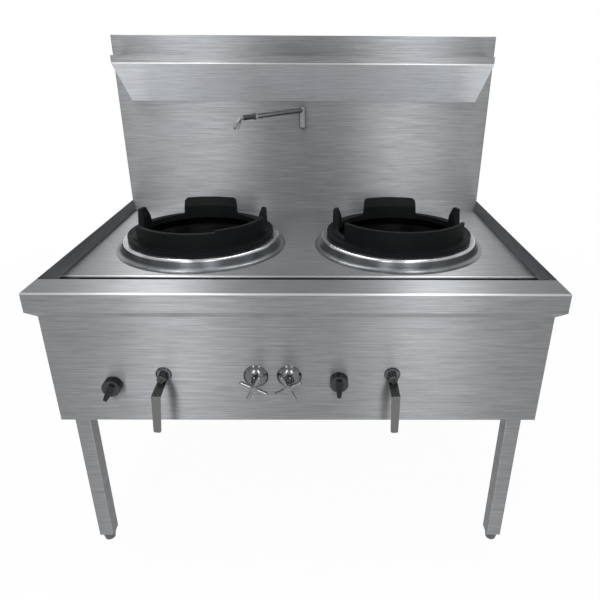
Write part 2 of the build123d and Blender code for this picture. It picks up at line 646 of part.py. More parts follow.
# ------------------------------------------------------------------ burners
def at_burner(side, shape):
    return Pos(burner_x(side), BURNER_Y, DECK_Z) * shape


def burner_collar(side):
    """Polished spun collar over the deck hole; its top carries the wok ring."""
    outer = [(COLLAR_FOOT_RADIUS, 0), (COLLAR_FOOT_RADIUS, COLLAR_SHEET),
             (COLLAR_BASE_RADIUS, COLLAR_SHEET), (COLLAR_SHOULDER_RADIUS, COLLAR_HEIGHT),
             (COLLAR_BORE_RADIUS, COLLAR_HEIGHT)]
    inner = [(COLLAR_BORE_RADIUS, COLLAR_HEIGHT - COLLAR_SPIGOT),
             (COLLAR_BORE_RADIUS + COLLAR_SHEET, COLLAR_HEIGHT - COLLAR_SPIGOT),
             (COLLAR_BORE_RADIUS + COLLAR_SHEET, COLLAR_HEIGHT - COLLAR_SHEET),
             (COLLAR_SHOULDER_RADIUS - COLLAR_SHEET, COLLAR_HEIGHT - COLLAR_SHEET),
             (COLLAR_BASE_RADIUS - COLLAR_SHEET, 0)]
    collar = turned(outer + inner)
    rounds = ((COLLAR_SHOULDER_RADIUS, COLLAR_HEIGHT, COLLAR_ROUND),
              (COLLAR_SHOULDER_RADIUS - COLLAR_SHEET, COLLAR_HEIGHT - COLLAR_SHEET,
               COLLAR_ROUND - COLLAR_SHEET),
              (COLLAR_BASE_RADIUS, COLLAR_SHEET, COLLAR_FLARE),
              (COLLAR_BASE_RADIUS - COLLAR_SHEET, 0, COLLAR_FLARE + COLLAR_SHEET))
    for radius, z, size in rounds:
        collar = fillet(circles(collar, radius, z), size)
    return at_burner(side, collar)


def burner_chamber(side):
    """Drum under the deck, hung by a flange, with a floor that carries the burner."""
    bore = CHAMBER_RADIUS - CHAMBER_WALL
    top = COLLAR_HEIGHT - COLLAR_SHEET
    outline = [(CHAMBER_HOLE_RADIUS, -CHAMBER_DEPTH), (CHAMBER_RADIUS, -CHAMBER_DEPTH),
               (CHAMBER_RADIUS, 0), (CHAMBER_FLANGE_RADIUS, 0), (CHAMBER_FLANGE_RADIUS, CHAMBER_WALL),
               (CHAMBER_RADIUS, CHAMBER_WALL), (CHAMBER_RADIUS, top), (bore, top),
               (bore, -CHAMBER_DEPTH + CHAMBER_WALL), (CHAMBER_HOLE_RADIUS, -CHAMBER_DEPTH + CHAMBER_WALL)]
    drum = turned(outline)
    pilot = Pos(-PILOT_OFFSET, 0, -CHAMBER_DEPTH) * Cylinder(PILOT_RADIUS + PIPE_GAP, 4 * CHAMBER_WALL)
    return at_burner(side, drum - pilot)


def refractory_lining(side):
    """Cast lining that narrows towards the burner."""
    outside = CHAMBER_RADIUS - CHAMBER_WALL - LINING_GAP
    floor = -CHAMBER_DEPTH + CHAMBER_WALL
    outline = [(LINING_FOOT_RADIUS, floor), (outside, floor), (outside, LINING_TOP),
               (LINING_MOUTH_RADIUS, LINING_TOP), (LINING_WAIST_RADIUS, -LINING_WAIST_DEPTH)]
    return at_burner(side, turned(outline))


def jet_burner(side):
    """Cast burner: base, stem, round head and rings of jets."""
    floor = -CHAMBER_DEPTH + CHAMBER_WALL
    head = floor + JET_HEAD_RISE
    top = head + JET_HEAD
    neck = -CHAMBER_DEPTH - JET_NECK_DROP
    outline = [(0, neck), (JET_NECK_RADIUS, neck), (JET_NECK_RADIUS, floor), (JET_BASE_RADIUS, floor),
               (JET_BASE_RADIUS, floor + JET_BASE), (JET_STEM_RADIUS, floor + JET_BASE),
               (JET_STEM_RADIUS, head - JET_HEAD), (JET_HEAD_RADIUS, head),
               (JET_HEAD_RADIUS, top), (0, top)]
    burner = turned(outline)
    for radius, count in JET_RINGS:
        for place in PolarLocations(radius, count):
            burner += Pos(0, 0, top) * place * Cylinder(JET_RADIUS, JET_HEIGHT,
                                                        align=(Align.CENTER, Align.CENTER, Align.MIN))
            burner -= Pos(0, 0, top + JET_HEIGHT) * place * Cylinder(JET_BORE, JET_HEIGHT)
    return at_burner(side, burner)


def wok_ring(name):
    """Cast-iron ring: flange, low wall, three lugs and a front shield."""
    bore = RING_RADIUS - RING_WALL
    low_top = RING_FLANGE + RING_LOW_WALL
    ring = turned([(bore, 0), (RING_FLANGE_RADIUS, 0), (RING_FLANGE_RADIUS, RING_FLANGE),
                   (RING_RADIUS, RING_FLANGE), (RING_RADIUS, low_top), (bore, low_top)])
    wall = [(bore, 0), (RING_RADIUS, 0), (RING_RADIUS, RING_HEIGHT), (bore + RING_BEVEL, RING_HEIGHT),
            (bore, RING_HEIGHT - RING_BEVEL_HEIGHT)]
    whole = turned(wall)
    for middle, foot_half, top_half in ((REAR_LUGS[name], *REAR_LUG), *SIDE_LUGS):
        foot_y, top_y = (RING_RADIUS * math.sin(math.radians(a)) for a in (foot_half, top_half))
        outline = Polyline((0, -foot_y, 0), (0, foot_y, 0), (0, top_y, RING_HEIGHT),
                           (0, -top_y, RING_HEIGHT), close=True)
        prism = extrude(make_face(outline), amount=RING_FLANGE_RADIUS, dir=(1, 0, 0))
        top_ends = prism.edges().filter_by(Axis.X).group_by(Axis.Z)[-1]
        round_size = WIDE_LUG_ROUND if top_y > RING_WALL else LUG_ROUND
        ring += whole & (Rot(0, 0, middle) * fillet(top_ends, round_size))
    start, end = SHIELDS[name]
    ring += turned(wall, end - start, start)
    if name == "left":      # its shield is a little lower left of the step
        low, high = RING_HEIGHT - RING_STEP, RING_HEIGHT + RING_STEP
        step = [(bore - RING_STEP, low), (RING_FLANGE_RADIUS, low), (RING_FLANGE_RADIUS, high),
                (bore - RING_STEP, high)]
        begin = start - RING_STEP_PAST
        ring -= turned(step, RING_STEP_ANGLE - begin, begin)
    return at_burner(SIDES[name], Pos(0, 0, COLLAR_HEIGHT + REST_GAP) * ring)


# ------------------------------------------------------------------ gas
def gas_manifold():
    """Main pipe behind the panel with a branch above each valve and cock, and the inlet drop."""
    rear_y = BACK_Y - MANIFOLD_REAR
    route = [(MANIFOLD_LEFT, PIPE_Y, MANIFOLD_Z), (MANIFOLD_RIGHT, PIPE_Y, MANIFOLD_Z),
             (MANIFOLD_RIGHT, rear_y, MANIFOLD_Z), (MANIFOLD_RIGHT, rear_y, BODY_BOTTOM + INLET_END)]
    outside = bent_rod(route, MANIFOLD_RADIUS, MANIFOLD_BEND)
    capped = [(MANIFOLD_LEFT + MANIFOLD_WALL, PIPE_Y, MANIFOLD_Z)] + route[1:]
    inside = bent_rod(capped, MANIFOLD_RADIUS - MANIFOLD_WALL, MANIFOLD_BEND)
    branches = [(x, control_z(z) + VALVE_HALF + VALVE_HEX_HEIGHT, FEED_RADIUS) for x, z, _ in LEVER_SPOTS]
    branches += [(x, control_z(z) + COCK_HALF, 2 * PILOT_RADIUS) for x, z, _ in KNOB_SPOTS]
    for x, end_z, radius in branches:
        outside += rod((x, PIPE_Y, MANIFOLD_Z), (x, PIPE_Y, end_z), radius)
        inside += rod((x, PIPE_Y, MANIFOLD_Z), (x, PIPE_Y, end_z), radius - WATER_PIPE_WALL)
    return outside - inside


def gas_valve_body(x, z):
    """Ball valve body: ported barrel with hexagon ends and a gland through the panel."""
    body = Cylinder(VALVE_RADIUS, 2 * VALVE_HALF)
    for end in (-1, 1):
        middle = end * (VALVE_HALF + VALVE_HEX_HEIGHT / 2) - VALVE_HEX_HEIGHT / 2
        body += Pos(0, 0, middle) * hex_bar(VALVE_HEX, VALVE_HEX_HEIGHT)
    reach = CONTROL_SETBACK + VALVE_BOSS_REACH
    body += rod((0, 0, 0), (0, -reach, 0), VALVE_BOSS_RADIUS)
    body -= Sphere(BALL_RADIUS + BALL_GAP)
    body -= Cylinder(PORT_RADIUS, 4 * VALVE_HALF)
    body -= rod((0, 0, 0), (0, -2 * reach, 0), STEM_RADIUS + RUNNING_GAP)
    return Pos(x, PIPE_Y, control_z(z)) * body


def valve_ball(x, z):
    """Bored ball with its stem, closed while the lever hangs down."""
    ball = Sphere(BALL_RADIUS) - rod((-2 * BALL_RADIUS, 0, 0), (2 * BALL_RADIUS, 0, 0), PORT_RADIUS)
    ball += rod((0, -BALL_NECK, 0), (0, -CONTROL_SETBACK - STEM_REACH, 0), STEM_RADIUS)
    return Pos(x, PIPE_Y, control_z(z)) * ball


def gas_lever(x, z, lean):
    """Stamped dog-leg handle with its hub, hanging down at rest."""
    slope_start = (-LEVER_HUB_FRONT, LEVER_WELD - LEVER_HUB_RADIUS - LEVER_THICKNESS)
    outer = -LEVER_REACH + LEVER_THICKNESS
    bend = (outer, -LEVER_BEND_DROP)
    strip = folded([(-LEVER_HUB_BACK - LEVER_THICKNESS, slope_start[1]), slope_start,
                    bend, (outer, -LEVER_LENGTH)], -LEVER_THICKNESS, LEVER_WIDTH)
    half, end_half = LEVER_WIDTH / 2, LEVER_END_WIDTH / 2
    outline = Polyline((-half, 0, LEVER_HUB_RADIUS), (half, 0, LEVER_HUB_RADIUS),
                       (half, 0, -LEVER_BEND_DROP), (end_half, 0, -LEVER_LENGTH),
                       (-end_half, 0, -LEVER_LENGTH), (-half, 0, -LEVER_BEND_DROP), close=True)
    blade = strip & extrude(make_face(outline), amount=2 * LEVER_REACH, dir=(0, -1, 0))
    tip = blade.edges().filter_by(Axis.Y).group_by(Axis.Z)[0]
    blade = fillet(tip, LEVER_TIP_ROUND)
    rib = folded([slope_start, bend, (outer, -LEVER_BEND_DROP - LEVER_RIB_RUN)],
                 -LEVER_THICKNESS - LEVER_RIB, LEVER_RIB_WIDTH)
    for side in SIDES.values():
        blade += Pos(side * LEVER_RIB_SPREAD, 0, 0) * rib
    hub = rod((0, -LEVER_HUB_BACK, 0), (0, -LEVER_HUB_FRONT, 0), LEVER_HUB_RADIUS)
    hub = chamfer(hub.edges().group_by(Axis.Y)[0], LEVER_HUB_CHAMFER)
    hub -= rod((0, -GRUB_HOLE_REACH, LEVER_HUB_RADIUS - GRUB_HOLE_DEPTH),
               (0, -GRUB_HOLE_REACH, 2 * LEVER_HUB_RADIUS), GRUB_HOLE_RADIUS)
    blade += hub
    blade -= rod((0, 0, 0), (0, -STEM_REACH, 0), STEM_RADIUS + PRESS_GAP)
    return Pos(x, PANEL_Y, control_z(z)) * Rot(0, lean, 0) * blade


def lever_cups():
    """Chrome cup on the panel behind each lever."""
    bore = VALVE_BOSS_RADIUS + SCREW_GAP
    outline = [(bore, 0), (LEVER_CUP_RADIUS, 0), (LEVER_CUP_RADIUS, SHEET),
               (LEVER_CUP_RADIUS - SHEET, LEVER_CUP_BAND),
               (LEVER_CUP_RADIUS - SHEET - LEVER_CUP_SLOPE, LEVER_CUP_HEIGHT), (bore, LEVER_CUP_HEIGHT)]
    return Compound([facing_front(turned(outline), x, control_z(z)) for x, z, _ in LEVER_SPOTS])


def burner_feed_pipe(side, x, z):
    run_z = DECK_Z - FEED_DROP
    valve_end = control_z(z) - VALVE_HALF - VALVE_HEX_HEIGHT
    neck_z = CHAMBER_FLOOR - JET_NECK_DROP
    burner = (burner_x(side), BURNER_Y)
    route = [(x, PIPE_Y, valve_end), (x, PIPE_Y, run_z), (*burner, run_z), (*burner, neck_z)]
    return bent_pipe(route, FEED_RADIUS, WATER_PIPE_WALL, FEED_BEND)


def pilot_cock(x, z):
    cock = Cylinder(COCK_RADIUS, 2 * COCK_HALF)
    reach = CONTROL_SETBACK + COCK_NOSE_REACH
    cock += rod((0, 0, 0), (0, -reach, 0), COCK_NOSE_RADIUS)
    cock -= rod((0, -reach + KNOB_SHAFT_DEPTH + PIPE_GAP, 0), (0, -2 * reach, 0),
                KNOB_SHAFT_RADIUS + RUNNING_GAP)
    return Pos(x, PIPE_Y, control_z(z)) * cock


def pilot_knob(x, z, turn):
    """Round knob with a raised pointer bar and its shaft."""
    skirt = chamfer(rod((0, 0, 0), (0, 0, KNOB_SKIRT), KNOB_RADIUS).edges().group_by(Axis.Z)[-1],
                    KNOB_CHAMFER)
    half, tip_half = KNOB_BAR_WIDTH / 2, KNOB_POINTER_WIDTH / 2
    outline = Polyline((-half, KNOB_BAR_TAIL), (half, KNOB_BAR_TAIL), (half, -KNOB_BAR_TAPER),
                       (tip_half, -KNOB_POINTER), (-tip_half, -KNOB_POINTER),
                       (-half, -KNOB_BAR_TAPER), close=True)
    bar = Pos(0, 0, KNOB_BAR_FOOT) * extrude(make_face(outline), amount=KNOB_BAR_TOP - KNOB_BAR_FOOT)
    bar = fillet(bar.edges().group_by(Axis.Z)[-1], KNOB_BAR_ROUND)
    shaft = rod((0, 0, -KNOB_SHAFT_DEPTH), (0, 0, 0), KNOB_SHAFT_RADIUS)
    knob = Pos(0, 0, COCK_NOSE_REACH + REST_GAP) * Rot(0, 0, -turn) * (skirt + bar + shaft)
    return facing_front(knob, x, control_z(z))


def pilot_tube(side, x, z):
    """Small gas tube from the cock to the pilot tip beside the jets."""
    cock_end = control_z(z) - COCK_HALF
    run_z = min(CHAMBER_FLOOR - PILOT_DROP, cock_end - PILOT_BEND - PILOT_LEAD)
    pilot = (burner_x(side) - PILOT_OFFSET, BURNER_Y)
    tip_z = CHAMBER_FLOOR + PILOT_TIP
    route = [(x, PIPE_Y, cock_end), (x, PIPE_Y, run_z), (*pilot, run_z), (*pilot, tip_z)]
    tube = bent_rod(route, PILOT_RADIUS, PILOT_BEND)
    return tube + rod((*pilot, tip_z), (*pilot, tip_z + 3 * PILOT_TIP_RADIUS), PILOT_TIP_RADIUS)


# ------------------------------------------------------------------ water
def tap_body(x, z):
    """Brass tap body behind the panel with its bonnet through the panel."""
    barrel = rod((0, -SHEET - REST_GAP, 0), (0, -TAP_BODY_DEPTH, 0), TAP_BODY_RADIUS)
    barrel += rod((0, -TAP_BODY_DEPTH / 2, 0), (0, BONNET_REACH, 0), BONNET_RADIUS)
    barrel += Pos(0, BONNET_NUT_START, 0) * Rot(-90, 0, 0) * hex_bar(BONNET_NUT, BONNET_NUT_HEIGHT)
    for end in (-1, 1):
        barrel += rod((0, -CONTROL_SETBACK, 0), (0, -CONTROL_SETBACK, end * TAP_SOCKET_REACH),
                      TAP_SOCKET_RADIUS)
    spindle_end = BONNET_REACH - SPINDLE_DEPTH - PIPE_GAP
    barrel -= rod((0, spindle_end, 0), (0, 2 * BONNET_REACH, 0), SPINDLE_RADIUS + RUNNING_GAP)
    return Pos(x, PANEL_Y, control_z(z)) * Rot(0, 0, 180) * barrel


def tap_escutcheons():
    """Domed chrome cover on the panel round each tap."""
    bore = BONNET_RADIUS + SCREW_GAP
    radius, height, wall = TAP_DOME_RADIUS, TAP_DOME_HEIGHT, TAP_DOME_WALL

    def dome(rise, foot):
        crest = (foot * TAP_DOME_CREST[0], 0, rise * TAP_DOME_CREST[1])
        arc = ThreePointArc((foot, 0, 0), crest, (0, 0, rise))
        return Line((0, 0, 0), (foot, 0, 0)) + arc + Line((0, 0, rise), (0, 0, 0))

    outer = revolve(make_face(dome(height, radius)), Axis.Z)
    inner = revolve(make_face(dome(height - wall, radius - wall)), Axis.Z)
    cover = outer - inner - Cylinder(bore, 4 * height)
    return Compound([facing_front(cover, x, control_z(z)) for x, z, _ in TAP_SPOTS])


def tap_handle(x, z, turn):
    """Four-spoke handle with its spindle."""
    back, front = BONNET_REACH + REST_GAP, TAP_HUB_REACH + TAP_HUB_HALF
    handle = turned([(0, back - SPINDLE_DEPTH), (SPINDLE_RADIUS, back - SPINDLE_DEPTH),
                     (SPINDLE_RADIUS, back), (TAP_HUB_NECK, back),
                     (TAP_HUB_RADIUS, TAP_HUB_REACH - TAP_HUB_HALF),
                     (TAP_HUB_RADIUS, TAP_HUB_REACH + TAP_HUB_EDGE),
                     (TAP_HUB_FACE, front), (0, front)])
    for place in PolarLocations(0, SPOKES):
        spoke = rod((TAP_HUB_RADIUS / 2, 0, TAP_HUB_REACH), (SPOKE_LENGTH, 0, TAP_HUB_REACH), SPOKE_RADIUS)
        spoke = fillet(spoke.edges().sort_by(Axis.X)[-1], SPOKE_ROUND)
        handle += place * spoke
    return facing_front(Rot(0, 0, turn) * handle, x, control_z(z))


def supply_pipe(x, z, lane):
    """Supply from its inlet under the back to a tap."""
    run_z = BODY_BOTTOM + WATER_RUN
    rear_y = BACK_Y - WATER_REAR
    turn_y = PIPE_Y + (BURNER_Y - CHAMBER_RADIUS - PIPE_Y) / 2
    route = [(x, PIPE_Y, control_z(z) - TAP_SOCKET_REACH), (x, PIPE_Y, run_z)]
    if lane != x:
        route.append((lane, turn_y, run_z))
    route += [(lane, rear_y, run_z), (lane, rear_y, BODY_BOTTOM + INLET_END)]
    return bent_pipe(route, WATER_PIPE_RADIUS, WATER_PIPE_WALL, WATER_BEND)


def riser_pipe():
    """Header over both taps and the riser to the spout."""
    socket_z = control_z(TAP_SPOTS[0][1]) + TAP_SOCKET_REACH
    header_z = control_z(TAP_SPOTS[0][1]) + HEADER_RISE
    riser_y = SPLASH_Y + RISER_SETBACK
    left_x, right_x = TAP_SPOTS[0][0], TAP_SPOTS[1][0]
    header = [(left_x, PIPE_Y, socket_z), (left_x, PIPE_Y, header_z), (SPOUT_X, PIPE_Y, header_z),
              (SPOUT_X, riser_y, header_z), (SPOUT_X, riser_y, SPOUT_Z),
              (SPOUT_X, SPLASH_Y + SPOUT_TAIL_DEPTH, SPOUT_Z)]
    branch = ((right_x, PIPE_Y, socket_z), (right_x, PIPE_Y, header_z))
    bore = WATER_PIPE_RADIUS - WATER_PIPE_WALL
    outside = bent_rod(header, WATER_PIPE_RADIUS, HEADER_BEND) + rod(*branch, WATER_PIPE_RADIUS)
    return outside - bent_rod(header, bore, HEADER_BEND) - rod(*branch, bore)


# ------------------------------------------------------------------ swing spout
def spout_elbow():
    """Fixed lower half of the column with its wall connection."""
    bottom, split = SPOUT_Z - COLUMN_BELOW, SPOUT_Z + COLUMN_SPLIT
    column = rod((SPOUT_X, COLUMN_Y, bottom), (SPOUT_X, COLUMN_Y, split), COLUMN_RADIUS)
    column = fillet(column.edges().group_by(Axis.Z)[0], COLUMN_FOOT_ROUND)
    tail = rod((SPOUT_X, COLUMN_Y, SPOUT_Z), (SPOUT_X, SPLASH_Y + SPOUT_TAIL_DEPTH, SPOUT_Z),
               SPOUT_TAIL_RADIUS)
    nut = Pos(SPOUT_X, SPLASH_Y, SPOUT_Z) * Rot(90, 0, 0) * hex_bar(WALL_NUT, WALL_NUT_HEIGHT)
    socket = rod((SPOUT_X, COLUMN_Y, split - SPIGOT_LENGTH - PIPE_GAP),
                 (SPOUT_X, COLUMN_Y, split + PIPE_GAP), SPIGOT_RADIUS + RUNNING_GAP)
    return column + tail + nut - socket


def on_arm(shape):
    """Moves a shape made along +X at z = 0 onto the arm's line."""
    return Pos(SPOUT_X, COLUMN_Y, ARM_Z) * Rot(0, 0, ARM_ANGLE) * shape


def spout_arm():
    """Swivel half of the column, the arm with its union nut and the core of the grip."""
    split = COLUMN_SPLIT - ARM_RISE + REST_GAP
    top = COLUMN_TOP - ARM_RISE
    column = rod((0, 0, split), (0, 0, top), COLUMN_RADIUS)
    column = fillet(column.edges().group_by(Axis.Z)[-1], COLUMN_TOP_ROUND)
    arm = column + rod((0, 0, split - SPIGOT_LENGTH), (0, 0, split), SPIGOT_RADIUS)
    arm += rod((0, 0, 0), (GRIP_START, 0, 0), ARM_RADIUS)
    nut = Pos(ARM_LENGTH, 0, 0) * Rot(0, 90, 0) * hex_bar(2 * UNION_RADIUS, UNION_LENGTH)
    arm += nut + rod((GRIP_START, 0, 0), (GRIP_END, 0, 0), GRIP_CORE_RADIUS)
    return on_arm(arm)


def spout_grip():
    """Grooved dark sleeve on the core of the arm."""
    sleeve = rod((GRIP_START, 0, 0), (GRIP_END, 0, 0), GRIP_RADIUS)
    sleeve = fillet(sleeve.edges().filter_by(GeomType.CIRCLE), GRIP_GROOVE)
    pitch = (GRIP_END - GRIP_START) / (GRIP_GROOVES + 1)
    for i in range(GRIP_GROOVES):
        middle = GRIP_START + pitch * (i + 1)
        ends = (middle - GRIP_GROOVE / 2, 0, 0), (middle + GRIP_GROOVE / 2, 0, 0)
        sleeve -= rod(*ends, 2 * GRIP_RADIUS) - rod(*ends, GRIP_RADIUS - GRIP_GROOVE)
    return on_arm(sleeve - rod((GRIP_START, 0, 0), (GRIP_END, 0, 0), GRIP_CORE_RADIUS + PRESS_GAP))


def spout_nose():
    """Bent nozzle with two ears and the trigger's pivot pin under it."""
    route = [(along, 0, up) for along, up in NOSE_PATH]
    nose = bent_rod(route, NOSE_RADIUS, NOSE_BEND)
    half = TRIGGER_WIDTH / 2 + TRIGGER_SIDE_GAP
    ear_outer = half + EAR_THICKNESS
    for side in SIDES.values():
        span = sorted((side * half, side * ear_outer))
        ear = rod((EAR_ALONG, span[0], -EAR_DROP), (EAR_ALONG, span[1], -EAR_DROP), EAR_RADIUS)
        ear += block((EAR_ALONG - EAR_RADIUS, EAR_ALONG + EAR_RADIUS), span, (-EAR_DROP, -NOSE_RADIUS / 2))
        nose += ear
    nose += rod((EAR_ALONG, -ear_outer, -EAR_DROP), (EAR_ALONG, ear_outer, -EAR_DROP), PIVOT_RADIUS)
    return on_arm(nose - rod(route[-2], route[-1], NOSE_BORE))


def spout_trigger():
    """Slim lever behind the nozzle, turning on the pin between the ears."""
    tip_along, tip_up = TRIGGER_TIP
    half = TRIGGER_WIDTH / 2
    eye = rod((EAR_ALONG, -half, -EAR_DROP), (EAR_ALONG, half, -EAR_DROP), TRIGGER_EYE_RADIUS)
    run = Vector(tip_along - EAR_ALONG, 0, tip_up + EAR_DROP)
    side_step = run.normalized().rotate(Axis.Y, 90) * (TRIGGER_THICKNESS / 2)
    start = Vector(EAR_ALONG, 0, -EAR_DROP)
    corners = [start + side_step, start + run + side_step, start + run - side_step, start - side_step]
    blade = extrude(make_face(Polyline(*corners, close=True)), amount=TRIGGER_WIDTH, dir=(0, 1, 0))
    lever = eye + Pos(0, -half, 0) * blade
    bore = rod((EAR_ALONG, -2 * half, -EAR_DROP), (EAR_ALONG, 2 * half, -EAR_DROP),
               PIVOT_RADIUS + RUNNING_GAP)
    return on_arm(lever - bore)


# ------------------------------------------------------------------ all pieces
def all_pieces():
    pieces = {
        "front_panel": front_panel(),
        "rear_panel": wall_panel(BACK_Y, -1),
        "base_frame": base_frame(),
        "rim_frame": rim_frame(),
        "deck_plate": deck_plate(),
        "gutter_trough": gutter_trough(),
        "drain_outlet": drain_outlet(),
        "splash_panel": splash_panel(),
        "splash_cover": splash_cover(),
        "cover_screws": cover_screws(),
        "ladle_shelf": ladle_shelf(),
        "gas_manifold": gas_manifold(),
        "lever_cups": lever_cups(),
        "tap_escutcheons": tap_escutcheons(),
        "cold_water_pipe": supply_pipe(*TAP_SPOTS[0][:2], COLD_LANE),
        "hot_water_pipe": supply_pipe(*TAP_SPOTS[1][:2], TAP_SPOTS[1][0]),
        "riser_pipe": riser_pipe(),
        "spout_elbow": spout_elbow(),
        "spout_arm": spout_arm(),
        "spout_grip": spout_grip(),
        "spout_nose": spout_nose(),
        "spout_trigger": spout_trigger(),
    }
    for index, (name, side) in enumerate(SIDES.items()):
        lever_x, lever_z, lean = LEVER_SPOTS[index]
        knob_x, knob_z, pointer = KNOB_SPOTS[index]
        tap_x, tap_z, spoke = TAP_SPOTS[index]
        pieces[f"{name}_panel"] = side_panel(side)
        for end in ("front", "rear"):
            pieces[f"leg_{end}_{name}"] = leg(side, end)
            pieces[f"foot_{end}_{name}"] = foot(side, end)
        pieces[f"burner_collar_{name}"] = burner_collar(side)
        pieces[f"burner_chamber_{name}"] = burner_chamber(side)
        pieces[f"refractory_lining_{name}"] = refractory_lining(side)
        pieces[f"jet_burner_{name}"] = jet_burner(side)
        pieces[f"wok_ring_{name}"] = wok_ring(name)
        pieces[f"gas_valve_body_{name}"] = gas_valve_body(lever_x, lever_z)
        pieces[f"valve_ball_{name}"] = valve_ball(lever_x, lever_z)
        pieces[f"gas_lever_{name}"] = gas_lever(lever_x, lever_z, lean)
        pieces[f"burner_feed_pipe_{name}"] = burner_feed_pipe(side, lever_x, lever_z)
        pieces[f"pilot_cock_{name}"] = pilot_cock(knob_x, knob_z)
        pieces[f"pilot_knob_{name}"] = pilot_knob(knob_x, knob_z, pointer)
        pieces[f"pilot_tube_{name}"] = pilot_tube(side, knob_x, knob_z)
        pieces[f"tap_body_{name}"] = tap_body(tap_x, tap_z)
        pieces[f"tap_handle_{name}"] = tap_handle(tap_x, tap_z, spoke)
    return pieces


os.makedirs("parts", exist_ok=True)
for piece_name, piece in all_pieces().items():
    export_step(piece, f"parts/{piece_name}.step")
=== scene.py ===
import math

import bmesh
import bpy
from mathutils import Matrix, Vector


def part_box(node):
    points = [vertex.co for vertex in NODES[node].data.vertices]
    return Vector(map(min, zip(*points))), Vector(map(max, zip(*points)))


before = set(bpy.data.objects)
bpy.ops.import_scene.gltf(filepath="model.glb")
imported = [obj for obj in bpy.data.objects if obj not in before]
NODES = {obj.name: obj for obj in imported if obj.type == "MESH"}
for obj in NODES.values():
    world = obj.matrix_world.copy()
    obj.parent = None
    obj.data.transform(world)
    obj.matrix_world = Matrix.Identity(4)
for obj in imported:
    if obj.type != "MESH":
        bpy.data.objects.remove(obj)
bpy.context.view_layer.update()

SIDES = ("left", "right")
WHITE = (1.0, 1.0, 1.0, 1.0)

# ------------------------------------------------------------------ camera, floor and light
CAMERA_PLACE = (0.0473, -1.5279, 1.2363)
CAMERA_PITCH = 0.4299         # downwards, radians
CAMERA_YAW = 0.0076           # to the right
CAMERA_ROLL = 0.0053
FOCAL_PIXELS = 562.35
IMAGE_PIXELS = 600
PRINCIPAL_POINT = (322.2, 304.7)
SENSOR_MM = 36.0

FLOOR_RADIUS = 3.4
FLOOR_SEGMENTS = 96
FLOOR_FADE = (1.5, 3.3)       # the floor turns into the white backdrop between these radii
FLOOR_COLOR = (0.93, 0.93, 0.93)
FLOOR_ROUGHNESS = 0.9
FLOOR_LIFT = 0.96             # share of plain white in the floor as it is seen
FLOOR_IN_METAL = 0.82         # the same share as metal shows it
SKY_FILL = 0.5                # level of the sky as a light
CEILING = 0.68                # level of the sky overhead as metal shows it
HORIZON = (0.08, 0.48)        # height of a direction where the sky turns from white to that level
LAMPS = (                     # name, place, aim, width, height, power
    ("strip_left", (-1.05, 0.3, 3.0), (-1.05, 0.3, 0.0), 0.5, 3.4, 25.0),
    ("strip_right", (0.85, 0.3, 3.0), (0.85, 0.3, 0.0), 0.45, 3.4, 20.0),
    ("front_left", (-1.05, -3.3, 1.9), (-0.3, -0.4, 0.8), 0.6, 1.6, 27.0),
    ("front_right", (0.85, -3.3, 1.9), (0.28, -0.4, 0.8), 0.55, 1.6, 25.5),
)


def add_camera():
    """The photograph's camera, from its fitted place, angles and focal length."""
    data = bpy.data.cameras.new("camera")
    data.sensor_width = SENSOR_MM
    data.lens = FOCAL_PIXELS / IMAGE_PIXELS * SENSOR_MM
    data.shift_x = 0.5 - PRINCIPAL_POINT[0] / IMAGE_PIXELS
    data.shift_y = PRINCIPAL_POINT[1] / IMAGE_PIXELS - 0.5
    camera = bpy.data.objects.new("camera", data)
    bpy.context.scene.collection.objects.link(camera)
    forward = Vector((math.sin(CAMERA_YAW) * math.cos(CAMERA_PITCH),
                      math.cos(CAMERA_YAW) * math.cos(CAMERA_PITCH), -math.sin(CAMERA_PITCH)))
    level = forward.cross(Vector((0, 0, 1))).normalized()
    above = level.cross(forward)
    right = math.cos(CAMERA_ROLL) * level + math.sin(CAMERA_ROLL) * above
    up = math.cos(CAMERA_ROLL) * above - math.sin(CAMERA_ROLL) * level
    turn = Matrix((right, up, -forward)).transposed()
    camera.matrix_world = Matrix.Translation(CAMERA_PLACE) @ turn.to_4x4()
    bpy.context.scene.camera = camera


def add_area_light(name, place, aim, width, height, power):
    data = bpy.data.lights.new(name, "AREA")
    data.shape = "RECTANGLE"
    data.size, data.size_y = width, height
    data.energy = power
    light = bpy.data.objects.new(name, data)
    bpy.context.scene.collection.objects.link(light)
    turn = (Vector(aim) - Vector(place)).to_track_quat("-Z", "Y")
    light.matrix_world = Matrix.Translation(place) @ turn.to_matrix().to_4x4()


def add_world():
    """White where it is seen, straight or low in metal; as a light it is a plain soft fill."""
    world = bpy.data.worlds.new("studio")
    bpy.context.scene.world = world
    world.use_nodes = True
    kit = Kit(world.node_tree)
    rays = world.node_tree.nodes.new("ShaderNodeLightPath").outputs
    height = kit.part(kit.add("TexCoord", out="Generated"), "Z")
    shown = kit.span(height, *HORIZON, 1.0, CEILING, smooth=True)
    in_metal = kit.math("MAXIMUM", rays["Is Glossy Ray"], rays["Is Transmission Ray"])
    level = kit.span(in_metal, 0.0, 1.0, SKY_FILL, shown)
    background = world.node_tree.nodes["Background"]
    background.inputs["Color"].default_value = WHITE
    kit.join(kit.math("MAXIMUM", level, rays["Is Camera Ray"]), background.inputs["Strength"])


